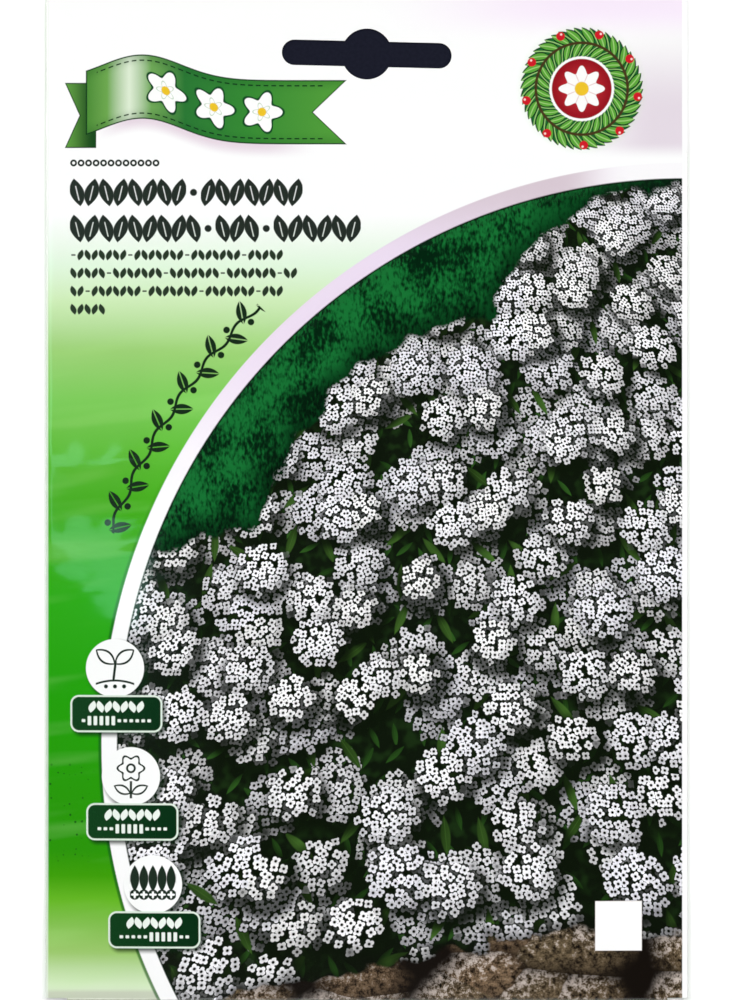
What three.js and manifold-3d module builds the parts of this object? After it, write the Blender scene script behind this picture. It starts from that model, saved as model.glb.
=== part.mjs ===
// A paper seed packet, lying on its back with the printed front up.
// Millimetres. +X to the right of the front, +Y towards the hang slot, +Z up out of the front.
// The origin is the middle of the packet's outline, on the surface that it lies on.

import * as THREE from 'three';
import { mergeVertices } from 'three/addons/utils/BufferGeometryUtils.js';
import Module from 'manifold-3d';

// Packet outline
const packetWidth = 120;
const packetLength = 187;

// Paper, glue and sachet foil
const paper = 0.15;
const glue = 0.07;
const glueClearance = 0.01;
const foil = 0.1;

// Header with the hang slot
const headerLength = 20;
const slotWidth = 31.75;
const slotArmHeight = 4.76;
const slotEyeDiameter = 9.53;
const slotBelowTop = 10.1;
const slotTilt = THREE.MathUtils.degToRad(-1.4);

// Flaps
const seamFlapWidth = 12;
const bottomFlapLength = 15;
const bottomFlapTaper = 0.06;
const bottomFlapInsetCells = 2;

// Filled body: the seeds, the sachet's seal and the loose paper above each lift their share of the front
const bellyHeight = 2.2;
const bellySideRun = 30;
const bellyBottomRun = 24;
const seedShare = 0.7;
const seedRun = 26.6;
const sealShare = 0.16;
const sealRun = 6;
const looseShare = 0.14;
const paperBridge = 2;
const shoulderFromTop = 28;

// Inner sachet
const sachetLeft = -58;
const sachetRight = 47.3;
const sachetBottomGap = 2.5;
const sachetTop = 98;
const sachetSideSeal = 5;
const sachetTopSeal = 9.4;
const sachetBellyHeight = 1.9;
const sachetSideRun = 22;
const sachetBottomRun = 20;
const sachetTopRun = 45;

// Seeds
const seedCount = 44;
const seedLength = 1.6;
const seedWidth = 1.2;
const seedHeight = 0.65;
const seedGap = 0.05;
const seedSpacing = 1.6;
const seedSpreadAcross = 1.6;
const seedHeapX = -5;
const seedHeapFromBottom = 25.5;

// Label stuck on the front
const labelWidth = 8.8;
const labelHeight = 9.35;
const labelThickness = 0.1;
const labelGap = 0.05;
const labelX = 47;
const labelFromBottom = 14;

// Levels worked out from the layers
const seamStep = paper + glue;
const headerHeight = 2 * paper + glue;
const bodyEdgeHeight = 2 * seamStep + paper + 0.1;
const right = packetWidth / 2;
const top = packetLength / 2;
const bottom = -top;
const header = top - headerLength;
const shoulder = top - shoulderFromTop;
const backFreeEdge = right - 0.2;
const bottomFlapEnd = bottom + bottomFlapLength;
const backRise = bottomFlapEnd + 0.3;
const backRest = backRise + 5.2;
const bottomFoldRadius = (seamStep + bodyEdgeHeight) / 2;
const bottomFoldY = bottom + bottomFoldRadius;
const sachetBottom = bottom + sachetBottomGap;
const sachetTopEdge = bottom + sachetTop;
const sealLeft = sachetLeft + sachetSideSeal;
const sealRight = sachetRight - sachetSideSeal;
const sealBottom = sachetBottom + sachetSideSeal;
const sealTop = sachetTopEdge - sachetTopSeal;
const frontSealLow = sealTop + paperBridge;
const frontSealHigh = sachetTopEdge + paperBridge;
const frontSealEnd = frontSealHigh + sealRun;

const wasm = await Module();
wasm.setup();

const { clamp, lerp, smoothstep } = THREE.MathUtils;
const easeOut = (distance, run) => Math.sin((Math.PI / 2) * clamp(distance / run, 0, 1));

// Outer face of the back panel: lifted by the bottom flap and its glue, then down on the floor.
function backLevel(y) {
  return seamStep * clamp((backRest - y) / (backRest - backRise), 0, 1);
}

// Height of the packet's side edges above the back panel's outer face.
function edgeHeight(y) {
  return lerp(bodyEdgeHeight, headerHeight, clamp((y - shoulder) / (header - shoulder), 0, 1));
}

// Outer radius of the plain fold on the left.
function leftFoldRadius(y) {
  return edgeHeight(y) / 2;
}

// Outer radius of the fold on the right, which turns into the seam flap. The header has no flap.
function rightFoldRadius(y) {
  return y < header ? Math.max(edgeHeight(y) - seamStep, 0) / 2 : 0;
}

// How far the front is lifted along the packet: 1 over the seeds, little at the seal, 0 at the header.
// The paper is stiff, so it starts to fall a little beyond each edge of the seal.
function swell(y) {
  const overSeeds = seedShare * easeOut(frontSealLow - y, seedRun);
  const overSeal = sealShare * (1 - smoothstep(y, frontSealHigh, frontSealEnd));
  const overLoose = looseShare * (1 - smoothstep(y, frontSealEnd, shoulder));
  return easeOut(y - bottomFoldY, bellyBottomRun) * (overSeeds + overSeal + overLoose);
}

// Outer face of the front panel.
function frontLevel(x, y) {
  const left = -right + leftFoldRadius(y);
  const end = right - rightFoldRadius(y);
  const across = easeOut(Math.min(x - left, end - x), bellySideRun);
  return backLevel(y) + edgeHeight(y) + bellyHeight * across * swell(y);
}

// Evenly spaced values from start up to, but not including, end.
function steps(start, end, count) {
  return Array.from({ length: count }, (_, index) => lerp(start, end, index / count));
}

// A thin sheet from a grid of point pairs, one on each face, with a wall along each free edge.
// pointPair(row, column) gives [outer, inner]; hasCell(row, column) says where there is sheet.
function sheetGeometry(rows, columns, pointPair, hasCell) {
  const positions = [];
  const quad = (a, b, c, d) => positions.push(...a, ...b, ...c, ...a, ...c, ...d);
  const present = (row, column) =>
    row >= 0 && column >= 0 && row < rows - 1 && column < columns - 1 && hasCell(row, column);
  const wall = (from, to) => quad(to[0], from[0], from[1], to[1]);
  for (let row = 0; row < rows - 1; row += 1) {
    for (let column = 0; column < columns - 1; column += 1) {
      if (!present(row, column)) continue;
      const a = pointPair(row, column);
      const b = pointPair(row, column + 1);
      const c = pointPair(row + 1, column + 1);
      const d = pointPair(row + 1, column);
      quad(a[0], b[0], c[0], d[0]);
      quad(d[1], c[1], b[1], a[1]);
      if (!present(row - 1, column)) wall(a, b);
      if (!present(row, column + 1)) wall(b, c);
      if (!present(row + 1, column)) wall(c, d);
      if (!present(row, column - 1)) wall(d, a);
    }
  }
  const geometry = new THREE.BufferGeometry();
  geometry.setAttribute('position', new THREE.Float32BufferAttribute(positions, 3));
  return mergeVertices(geometry);
}

function solidOf(geometry) {
  const bare = new THREE.BufferGeometry();
  bare.setAttribute('position', geometry.getAttribute('position').clone());
  bare.setIndex(geometry.getIndex());
  const merged = mergeVertices(bare);
  return new wasm.Manifold(new wasm.Mesh({
    numProp: 3,
    vertProperties: new Float32Array(merged.getAttribute('position').array),
    triVerts: new Uint32Array(merged.getIndex().array),
  }));
}

function geometryOf(solid) {
  const mesh = solid.getMesh();
  const geometry = new THREE.BufferGeometry();
  geometry.setAttribute('position', new THREE.BufferAttribute(mesh.vertProperties, 3));
  geometry.setIndex(new THREE.BufferAttribute(mesh.triVerts, 1));
  return geometry;
}

function cut(geometry, tool) {
  return geometryOf(solidOf(geometry).subtract(solidOf(tool)));
}

// The hang slot's punch: a round eye with a round-ended arm on each side.
function slotPunch() {
  const arm = slotArmHeight / 2;
  const eye = slotEyeDiameter / 2;
  const armCentre = slotWidth / 2 - arm;
  const meet = Math.asin(arm / eye);
  const outline = new THREE.Shape();
  outline.absarc(armCentre, 0, arm, -Math.PI / 2, Math.PI / 2);
  outline.absarc(0, 0, eye, meet, Math.PI - meet);
  outline.absarc(-armCentre, 0, arm, Math.PI / 2, (3 * Math.PI) / 2);
  outline.absarc(0, 0, eye, Math.PI + meet, 2 * Math.PI - meet);
  const punch = new THREE.ExtrudeGeometry(outline, { depth: 4, bevelEnabled: false, curveSegments: 10 });
  punch.translate(0, 0, -2);
  punch.rotateZ(slotTilt);
  punch.translate(0, top - slotBelowTop, 0);
  return punch;
}

// Stations round the packet: back panel, left fold, front panel, right fold, seam flap.
const foldSegments = 4;
const girthStations = [
  ...steps(0, 1, 3).map((along) => ({ panel: 'back', along })),
  ...steps(0, 1, foldSegments).map((along) => ({ panel: 'leftFold', along })),
  ...steps(0, 1, 16).map((along) => ({ panel: 'front', along })),
  { panel: 'front', along: 1 },
  ...steps(0, 1, foldSegments).slice(1).map((along) => ({ panel: 'rightFold', along })),
  { panel: 'seamFlap', along: 0 },
  { panel: 'seamFlap', along: 1 },
];
const frontStart = girthStations.findIndex(({ panel }) => panel === 'front');
const frontEnd = girthStations.findLastIndex(({ panel }) => panel === 'front');

// Stations along the packet: bottom flap, bottom fold, then the body and the header by their y.
const lengthStations = [
  ...steps(0, 1, 2).map((along) => ({ panel: 'bottomFlap', along })),
  ...steps(0, 1, foldSegments).map((along) => ({ panel: 'bottomFold', along })),
  ...[
    ...steps(bottomFoldY, backRise, 3),
    backRise,
    ...steps(backRest, frontSealLow, 9),
    frontSealLow,
    frontSealHigh,
    ...steps(frontSealEnd, shoulder, 6),
    shoulder,
    header,
    top,
  ].map((y) => ({ panel: 'body', y })),
];

// Front columns crowd towards the side folds, where the belly rises.
function frontX(along, y) {
  const left = -right + leftFoldRadius(y);
  const end = right - rightFoldRadius(y);
  return lerp(left, end, (1 + Math.sin(Math.PI * (along - 0.5))) / 2);
}

function bodyPair({ panel, along }, y) {
  const back = backLevel(y);
  const arc = (centreX, centreZ, radius, angle) => [radius, radius - paper].map((distance) => [
    centreX + distance * Math.cos(angle),
    y,
    centreZ + distance * Math.sin(angle),
  ]);
  const leftRadius = leftFoldRadius(y);
  const rightRadius = rightFoldRadius(y);
  if (panel === 'back') {
    const x = lerp(backFreeEdge, -right + leftRadius, along);
    return [[x, y, back], [x, y, back + paper]];
  }
  if (panel === 'leftFold') {
    return arc(-right + leftRadius, back + leftRadius, leftRadius, -Math.PI / 2 - Math.PI * along);
  }
  if (panel === 'front') {
    const x = frontX(along, y);
    return [[x, y, frontLevel(x, y)], [x, y, frontLevel(x, y) - paper]];
  }
  if (panel === 'rightFold') {
    return arc(right - rightRadius, back + seamStep + rightRadius, rightRadius, Math.PI * (0.5 - along));
  }
  const x = right - rightRadius - seamFlapWidth * along;
  return [[x, y, back + seamStep], [x, y, back + seamStep + paper]];
}

function bottomPair({ along }, station) {
  if (station.panel === 'bottomFlap') {
    const x = frontX(along, bottomFoldY) * (1 - bottomFlapTaper * (1 - station.along));
    const y = lerp(bottomFlapEnd, bottomFoldY, station.along);
    return [[x, y, 0], [x, y, paper]];
  }
  const angle = -Math.PI / 2 - Math.PI * station.along;
  return [bottomFoldRadius, bottomFoldRadius - paper].map((distance) => [
    frontX(along, bottomFoldY),
    bottomFoldY + distance * Math.cos(angle),
    bottomFoldRadius + distance * Math.sin(angle),
  ]);
}

// The bottom flap is narrower than the front, and the seam flap ends below the header.
function packetSheet() {
  const pointPair = (row, column) => {
    const station = lengthStations[row];
    const girth = girthStations[column];
    return station.panel === 'body' ? bodyPair(girth, station.y) : bottomPair(girth, station);
  };
  const hasCell = (row, column) => {
    const station = lengthStations[row];
    if (station.panel === 'body') return column < frontEnd || station.y < shoulder;
    return column >= frontStart + bottomFlapInsetCells && column < frontEnd - bottomFlapInsetCells;
  };
  return sheetGeometry(lengthStations.length, girthStations.length, pointPair, hasCell);
}

// A strip or web over a grid of x and y stations, between two levels.
function layerGeometry(xStations, yStations, lowerLevel, upperLevel) {
  const pointPair = (row, column) => {
    const x = xStations[column];
    const y = yStations[row];
    return [[x, y, upperLevel(x, y)], [x, y, lowerLevel(x, y)]];
  };
  return sheetGeometry(yStations.length, xStations.length, pointPair, () => true);
}

function sideSeamGlue() {
  const outer = right - 1.2;
  const yStations = [bottomFoldY + 1, backRise, backRest, shoulder - 1];
  return layerGeometry(
    [right - seamFlapWidth + 0.6, outer],
    yStations,
    (x, y) => backLevel(y) + paper,
    (x, y) => backLevel(y) + seamStep,
  );
}

function bottomFlapGlue() {
  const halfWidth = right - 8;
  return layerGeometry(
    [-halfWidth, halfWidth],
    [bottomFoldY + 1, bottomFlapEnd - 0.8],
    () => paper,
    () => seamStep,
  );
}

function headerGlue() {
  const halfWidth = right - 1;
  const strip = layerGeometry(
    [-halfWidth, halfWidth],
    [header + 1, top - 0.6],
    () => paper + glueClearance,
    () => seamStep - glueClearance,
  );
  return cut(strip, slotPunch());
}

// The sachet's webs lie together round the sealed rim and part over the seeds.
const sachetX = [sachetLeft, ...steps(sealLeft, sealRight, 10), sealRight, sachetRight];
const sachetY = [sachetBottom, sealBottom, backRise, ...steps(backRest, sealTop, 9), sealTop, sachetTopEdge];

function sachetOpening(x, y) {
  const across = easeOut(Math.min(x - sealLeft, sealRight - x), sachetSideRun);
  const fromBottom = easeOut(y - sealBottom, sachetBottomRun);
  const fromTop = easeOut(sealTop - y, sachetTopRun);
  return sachetBellyHeight * across * fromBottom * fromTop;
}

const sachetFloor = (y) => backLevel(y) + paper;

function sachetBackWeb() {
  return layerGeometry(
    [sachetLeft, sachetRight],
    sachetY,
    (x, y) => sachetFloor(y),
    (x, y) => sachetFloor(y) + foil,
  );
}

function sachetFrontWeb() {
  return layerGeometry(
    sachetX,
    sachetY,
    (x, y) => sachetFloor(y) + foil + sachetOpening(x, y),
    (x, y) => sachetFloor(y) + 2 * foil + sachetOpening(x, y),
  );
}

// One egg-shaped, flattened seed, its long axis along Y.
function seedGeometry() {
  const outline = steps(0, 1, 4).slice(1).map((along) => {
    const angle = Math.PI * along;
    const narrowing = 1 + 0.18 * Math.cos(angle);
    return new THREE.Vector2((seedWidth / 2) * Math.sin(angle) * narrowing, (-seedLength / 2) * Math.cos(angle));
  });
  const tip = new THREE.Vector2(0, seedLength / 2);
  const foot = new THREE.Vector2(0, -seedLength / 2);
  const geometry = new THREE.LatheGeometry([foot, ...outline, tip], 8);
  geometry.scale(1, 1, seedHeight / seedWidth);
  return geometry;
}

// Seeds drift into a spread heap on the sachet's back web.
function seedPlaces() {
  const goldenAngle = Math.PI * (3 - Math.sqrt(5));
  return Array.from({ length: seedCount }, (_, index) => {
    const distance = seedSpacing * Math.sqrt(index + 0.5);
    const angle = goldenAngle * index;
    const x = seedHeapX + seedSpreadAcross * distance * Math.cos(angle);
    const y = bottom + seedHeapFromBottom + distance * Math.sin(angle);
    return { x, y, turn: 2.3 * index };
  });
}

function labelGeometry() {
  const centreY = bottom + labelFromBottom;
  const xStations = [...steps(labelX - labelWidth / 2, labelX + labelWidth / 2, 4), labelX + labelWidth / 2];
  const yStations = [...steps(centreY - labelHeight / 2, centreY + labelHeight / 2, 4), centreY + labelHeight / 2];
  return layerGeometry(
    xStations,
    yStations,
    (x, y) => frontLevel(x, y) + labelGap,
    (x, y) => frontLevel(x, y) + labelGap + labelThickness,
  );
}

const material = (color, roughness, metalness = 0) => new THREE.MeshStandardMaterial({ color, roughness, metalness });
const printedPaper = () => material(0xe9f0e6, 0.3);
const driedGlue = () => material(0xe3dcc4, 0.5);
const foilLaminate = () => material(0xd9dbdd, 0.35, 0.4);
const labelPaper = () => material(0xfdfdfb, 0.6);
const seedCoat = () => material(0xa0622d, 0.6);

function piece(name, geometry, finish) {
  const mesh = new THREE.Mesh(geometry, finish);
  mesh.name = name;
  return mesh;
}

const packet = new THREE.Group();
packet.add(
  piece('packet_sheet', cut(packetSheet(), slotPunch()), printedPaper()),
  piece('side_seam_glue', sideSeamGlue(), driedGlue()),
  piece('bottom_flap_glue', bottomFlapGlue(), driedGlue()),
  piece('header_glue', headerGlue(), driedGlue()),
  piece('sachet_back_web', sachetBackWeb(), foilLaminate()),
  piece('sachet_front_web', sachetFrontWeb(), foilLaminate()),
  piece('blank_label', labelGeometry(), labelPaper()),
);

const seeds = new THREE.Group();
seedPlaces().forEach(({ x, y, turn }, index) => {
  const seed = piece(`seed_${String(index + 1).padStart(2, '0')}`, seedGeometry(), seedCoat());
  seed.position.set(x, y, sachetFloor(y) + foil + seedGap + seedHeight / 2);
  seed.rotation.z = turn;
  seeds.add(seed);
});
packet.add(seeds);

export default packet;
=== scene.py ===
# %% [markdown]
# # A paper seed packet
# The object is a glossy paper packet for flower seeds, lying on its back with the printed front up.
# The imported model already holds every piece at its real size: the folded outer sheet, its glue, the
# inner sachet, the seeds and a small label. This lesson gives them their looks. The folded sheet is
# modelled again with finer paper, and the other pieces keep their shape and get their own finish.

# %% The frame and the units
import math

import bpy
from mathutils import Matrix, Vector, noise


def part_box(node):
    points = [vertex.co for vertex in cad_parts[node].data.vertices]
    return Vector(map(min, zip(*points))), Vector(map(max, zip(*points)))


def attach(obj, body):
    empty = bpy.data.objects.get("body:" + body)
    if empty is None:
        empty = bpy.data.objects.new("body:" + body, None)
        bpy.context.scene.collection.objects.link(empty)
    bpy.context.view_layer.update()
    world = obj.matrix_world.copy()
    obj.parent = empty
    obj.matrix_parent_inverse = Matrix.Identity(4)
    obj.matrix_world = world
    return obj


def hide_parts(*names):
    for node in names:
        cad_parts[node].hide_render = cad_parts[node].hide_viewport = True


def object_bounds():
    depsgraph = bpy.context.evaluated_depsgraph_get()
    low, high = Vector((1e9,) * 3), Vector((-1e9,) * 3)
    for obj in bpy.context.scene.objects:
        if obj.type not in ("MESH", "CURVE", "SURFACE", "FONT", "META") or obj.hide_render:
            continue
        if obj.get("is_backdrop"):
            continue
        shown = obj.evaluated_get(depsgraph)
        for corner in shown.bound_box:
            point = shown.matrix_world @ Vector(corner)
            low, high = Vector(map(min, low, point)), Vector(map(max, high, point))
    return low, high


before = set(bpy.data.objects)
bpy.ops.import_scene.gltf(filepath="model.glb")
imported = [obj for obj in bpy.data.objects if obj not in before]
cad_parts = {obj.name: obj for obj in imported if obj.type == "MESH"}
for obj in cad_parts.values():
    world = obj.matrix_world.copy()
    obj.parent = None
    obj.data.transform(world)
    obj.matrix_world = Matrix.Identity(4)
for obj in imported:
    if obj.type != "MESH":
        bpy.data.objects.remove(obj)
cad_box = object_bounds()
mm = 0.001
sheet_low, sheet_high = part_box("packet_sheet")
width = sheet_high.x - sheet_low.x
length = sheet_high.y - sheet_low.y
print(f"packet {width / mm:.1f} by {length / mm:.1f} mm, {(sheet_high.z - sheet_low.z) / mm:.2f} mm thick")

# %% [markdown]
# ## The layers of the folded paper
# One sheet makes the whole packet. Counted from the table up there are the bottom flap, the back
# panel, the seam flap and the front panel, each one paper thick, with glue between the joined ones.
# Modelling them flat first, at even levels, keeps every later cut simple.

# %% Layer levels and the outline
paper = 0.15 * mm
glue = 0.07 * mm
step = paper + glue
right = width / 2
top = length / 2
bottom = -top
body_thickness = 2 * step + paper + 0.1 * mm
header_thickness = step + paper
header = top - 20 * mm
shoulder = top - 28 * mm
flap_end = bottom + 15 * mm
back_rise = flap_end + 0.3 * mm
back_rest = back_rise + 5.2 * mm
left_radius = body_thickness / 2
right_radius = (body_thickness - step) / 2
bottom_radius = (step + body_thickness) / 2
fold_y = bottom + bottom_radius

flat_flap = paper / 2
flat_back = step + paper / 2
flat_seam = flat_back + step
flat_front = step + body_thickness - paper / 2
front_left = -right + left_radius
front_right = right - right_radius
print(f"fold radii {left_radius / mm:.3f}, {right_radius / mm:.3f}, {bottom_radius / mm:.3f} mm")

# %% [markdown]
# ## Helpers for modelling by hand
# Edit-mode operators act on whatever is selected, so each step first deselects everything and then
# selects vertices by their place.

# %% Selecting by place
near = 0.01 * mm


def pick(piece):
    bpy.ops.object.select_all(action="DESELECT")
    bpy.context.view_layer.objects.active = piece
    piece.select_set(True)


def edit(piece):
    pick(piece)
    bpy.ops.object.mode_set(mode="EDIT")


def leave():
    bpy.ops.object.mode_set(mode="OBJECT")


def select_where(piece, test):
    """Selects the vertices whose place passes the test, and the edges and faces between them."""
    bpy.ops.mesh.select_all(action="DESELECT")
    leave()
    for vertex in piece.data.vertices:
        vertex.select = test(vertex.co)
    bpy.ops.object.mode_set(mode="EDIT")
    bpy.ops.mesh.select_mode(type="EDGE")
    bpy.ops.mesh.select_mode(type="VERT")


def apply_modifier(piece, kind, **settings):
    pick(piece)
    modifier = piece.modifiers.new("step", kind)
    for key, value in settings.items():
        setattr(modifier, key, value)
    bpy.ops.object.modifier_apply(modifier="step")


def apply_transform(piece):
    pick(piece)
    bpy.ops.object.transform_apply(location=True, rotation=True, scale=True)


def extent(piece):
    ends = [[end(v.co[axis] for v in piece.data.vertices) / mm for axis in range(3)] for end in (min, max)]
    return " to ".join("(" + ", ".join(f"{value:.2f}" for value in corner) + ")" for corner in ends)


# %% [markdown]
# ## The front panel and the folds
# The front is a fine grid, because the gloss shows every small bend in it. Its left edge is spun half
# a turn and pulled across to become the back. Its right edge is spun the other way into the narrow
# seam flap, and its lower edge is spun and pulled up into the bottom flap.

# %% Fold the sheet
cell = 0.9 * mm
seam_flap = 12 * mm
front_width = front_right - front_left
front_length = top - fold_y
bpy.ops.mesh.primitive_grid_add(
    x_subdivisions=round(front_width / cell),
    y_subdivisions=round(front_length / cell),
    size=1,
    location=((front_left + front_right) / 2, (fold_y + top) / 2, flat_front),
)
sheet = bpy.context.object
sheet.name = "packet_paper"
sheet.scale = (front_width, front_length, 1)
apply_transform(sheet)


def fold(turn, centre, axis, pull):
    """Spins the selected edge half a turn round the fold's axis and pulls it on as a flat panel."""
    bpy.ops.mesh.spin(steps=6, angle=turn, center=centre, axis=axis)
    bpy.ops.mesh.extrude_region_move(TRANSFORM_OT_translate={"value": pull})


edit(sheet)
select_where(sheet, lambda co: co.x < front_left + near)
left_centre = (front_left, 0, flat_front - left_radius + paper / 2)
fold(math.pi, left_centre, (0, 1, 0), (right - 0.2 * mm - front_left, 0, 0))

select_where(sheet, lambda co: co.x > front_right - near and co.z > flat_front - near)
right_centre = (front_right, 0, flat_front - right_radius + paper / 2)
fold(-math.pi, right_centre, (0, 1, 0), (-seam_flap, 0, 0))

flap_half = right - 3.6 * mm
select_where(sheet, lambda co: co.y < fold_y + near and abs(co.x) < flap_half and co.z > flat_front - near)
fold(-math.pi, (0, fold_y, bottom_radius), (1, 0, 0), (0, flap_end - fold_y, 0))
bpy.ops.transform.resize(value=(0.94, 1, 1), center_override=(0, flap_end, flat_flap))

select_where(
    sheet,
    lambda co: co.y > shoulder - near
    and co.z > flat_back + near
    and (co.x > front_right + near or abs(co.z - flat_seam) < near),
)
bpy.ops.mesh.delete(type="VERT")
select_where(
    sheet,
    lambda co: co.y > shoulder - near and co.x > front_right - near and co.z > flat_front - near,
)
bpy.ops.transform.translate(value=(right - front_right, 0, 0))
bpy.ops.mesh.select_all(action="SELECT")
bpy.ops.mesh.normals_make_consistent(inside=False)
leave()
print("folded sheet:", len(sheet.data.polygons), "faces, mm", extent(sheet))

# %% [markdown]
# ## Paper thickness and the hang slot
# Solidify turns the single surface into a closed sheet of real thickness. Its material offsets tell the
# printed outside, the plain inside and the cut edges apart. The slot is then punched through both plies
# of the header, with a cutter made of a bar with round ends and a cylinder for the eye.

# %% Thicken the paper and punch the slot
SIDES = ("printed outside", "plain inside", "cut edge")
OUTSIDE, INSIDE, EDGE = range(3)


def give_sides(piece):
    """Adds a stand-in material for each side of the paper. The finishes come later."""
    for name in SIDES:
        piece.data.materials.append(bpy.data.materials.get(name) or bpy.data.materials.new(name))


give_sides(sheet)
apply_modifier(
    sheet,
    "SOLIDIFY",
    thickness=paper,
    offset=0,
    use_even_offset=True,
    material_offset=INSIDE,
    material_offset_rim=EDGE,
)

slot_y = top - 10.1 * mm
slot_width = 31.75 * mm
slot_arm = 4.76 * mm
slot_eye = 9.53 * mm
slot_tilt = math.radians(1.4)
punch_depth = 6 * mm


def punch(cutter):
    """Turns the cutter to the slot's small tilt and cuts it out of the sheet."""
    apply_transform(cutter)
    edit(cutter)
    bpy.ops.mesh.select_all(action="SELECT")
    bpy.ops.transform.rotate(value=slot_tilt, orient_axis="Z", center_override=(0, slot_y, 0))
    leave()
    give_sides(cutter)
    cutter.data.polygons.foreach_set("material_index", [EDGE] * len(cutter.data.polygons))
    apply_modifier(sheet, "BOOLEAN", object=cutter, operation="DIFFERENCE", solver="MANIFOLD")
    bpy.data.objects.remove(cutter)


bpy.ops.mesh.primitive_cube_add(size=1, location=(0, slot_y, 0))
bar = bpy.context.object
bar.scale = (slot_width, slot_arm, punch_depth)
apply_transform(bar)
edit(bar)
bpy.ops.mesh.select_mode(type="EDGE")
bpy.ops.mesh.select_all(action="DESELECT")
leave()
for edge in bar.data.edges:
    one, other = (bar.data.vertices[index].co for index in edge.vertices)
    edge.select = abs(one.z - other.z) > near
bpy.ops.object.mode_set(mode="EDIT")
bpy.ops.mesh.bevel(offset=slot_arm / 2 - near, segments=14, affect="EDGES")
leave()
punch(bar)
bpy.ops.mesh.primitive_cylinder_add(
    vertices=64, radius=slot_eye / 2, depth=punch_depth, location=(0, slot_y, 0)
)
punch(bpy.context.object)
print("punched sheet:", len(sheet.data.polygons), "faces, mm", extent(sheet))

# %% [markdown]
# ## The shape that the contents give the paper
# Flat layers don't look like a filled packet. The seeds lie in the lower half of the sachet and lift the
# front most there. Above them the front comes down to the sachet's flat top seal, and beyond the seal it
# drops once more to the empty upper part. Paper can't stretch, so where it curves two ways at once it
# buckles into small creases.

# %% Levels of the pressed sheet
belly = 2.2 * mm
seal_low = bottom + 90.6 * mm
seal_high = bottom + 100 * mm
seal_end = seal_high + 6 * mm
seed_share, seal_share, loose_share = 0.7, 0.16, 0.14
seed_run = 26.6 * mm
bottom_run = 24 * mm
side_run = 30 * mm


def ease(value):
    """0 at and below 0, 1 at and above 1, and a quarter sine between them."""
    return math.sin(math.pi / 2 * min(max(value, 0), 1))


def smooth(low, high, value):
    share = min(max((value - low) / (high - low), 0), 1)
    return share * share * (3 - 2 * share)


def back_level(y):
    return step * min(max((back_rest - y) / (back_rest - back_rise), 0), 1)


def edge_level(y):
    share = min(max((y - shoulder) / (header - shoulder), 0), 1)
    return body_thickness + (header_thickness - body_thickness) * share


def swell(y):
    """How far the front is lifted along the packet: 1 over the seeds, little at the seal, 0 at the header."""
    over_seeds = seed_share * ease((seal_low - y) / seed_run)
    over_seal = seal_share * (1 - smooth(seal_high, seal_end, y))
    loose_part = loose_share * (1 - smooth(seal_end, shoulder, y))
    return ease((y - fold_y) / bottom_run) * (over_seeds + over_seal + loose_part)


def smooth_front(x, y):
    across = ease(min(x - front_left, front_right - x) / side_run)
    return back_level(y) + edge_level(y) + belly * across * swell(y)


# %% Creases and small bends
def crease(x, y):
    """Small bends of the front: buckles over the sachet's shoulder, a raised seal edge and loose waves."""
    place = Vector((x, y, 0)) / mm
    off_sides = ease(min(x - front_left, front_right - x) / (5 * mm))
    off_ends = ease((y - fold_y) / (6 * mm)) * ease((shoulder - y) / (10 * mm))
    loose = 0.05 * noise.noise(place / 21) + 0.03 * noise.noise(place / 9 + Vector((7, 3, 0)))
    crinkle_zone = smooth(seal_low, seal_low - 2 * mm, y) * smooth(seal_low - 24 * mm, seal_low - 12 * mm, y)
    crinkles = 0.07 * noise.noise(Vector((place.x / 7, place.y / 4, 2)))
    crinkles += 0.035 * noise.noise(Vector((place.x / 3.4, place.y / 2.2, 4)))
    wave = 1.3 * noise.noise(Vector((place.x / 8, 0, 9))) + 0.5 * noise.noise(Vector((place.x / 2.3, 0, 6)))
    from_ridge = (y - seal_high) / mm + wave
    ridge = 0.08 * math.exp(-((from_ridge / 1.1) ** 2))
    buckle_zone = smooth(-1, 2, from_ridge) * (1 - smooth(5, 10, from_ridge))
    buckles = 0.06 * noise.noise(Vector((place.x / 6, place.y / 9, 5)))
    bends = loose + crinkle_zone * crinkles + buckle_zone * buckles + ridge
    return bends * mm * off_sides * off_ends


for part, level in (("seeds", bottom + 45 * mm), ("seal", seal_low)):
    print(f"front over the {part} {smooth_front(0, level) / mm:.2f} mm")

# %% [markdown]
# ## Pressing the flat sheet into shape
# Every height in the flat stack has its own height in the filled packet. Between the layers the height
# is interpolated, so the folds follow the panels that they join, and the sheet stays closed.

# %% Press the sheet
FLAT_LEVELS = (0, paper, step, step + paper, 2 * step, 2 * step + paper, step + body_thickness - paper)
FLAT_TOP = step + body_thickness


def pressed_levels(y, front):
    back = back_level(y)
    return (0, paper, back, back + paper, back + step, back + step + paper, front - paper, front)


def press(x, y, z):
    front = smooth_front(x, y) + crease(x, y)
    flat = (*FLAT_LEVELS, FLAT_TOP)
    pressed = pressed_levels(y, front)
    for low, high, low_to, high_to in zip(flat, flat[1:], pressed, pressed[1:]):
        if z <= high + near / 10:
            return low_to + (high_to - low_to) * (z - low) / (high - low)
    return pressed[-1]


flat_places = [vertex.co.copy() for vertex in sheet.data.vertices]
for vertex in sheet.data.vertices:
    vertex.co.z = press(*vertex.co)
pick(sheet)
bpy.ops.object.shade_smooth_by_angle(angle=math.radians(40))
print("pressed sheet: mm", extent(sheet))

# %% [markdown]
# ## Zones of the print
# The whole sheet could share one material, but the print would then be one very large node graph. The
# faces are sorted by their place in the flat stack instead: the header, the margin beside the picture,
# the picture, and the back each get a print of their own, and neighbours share the same ground.

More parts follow.
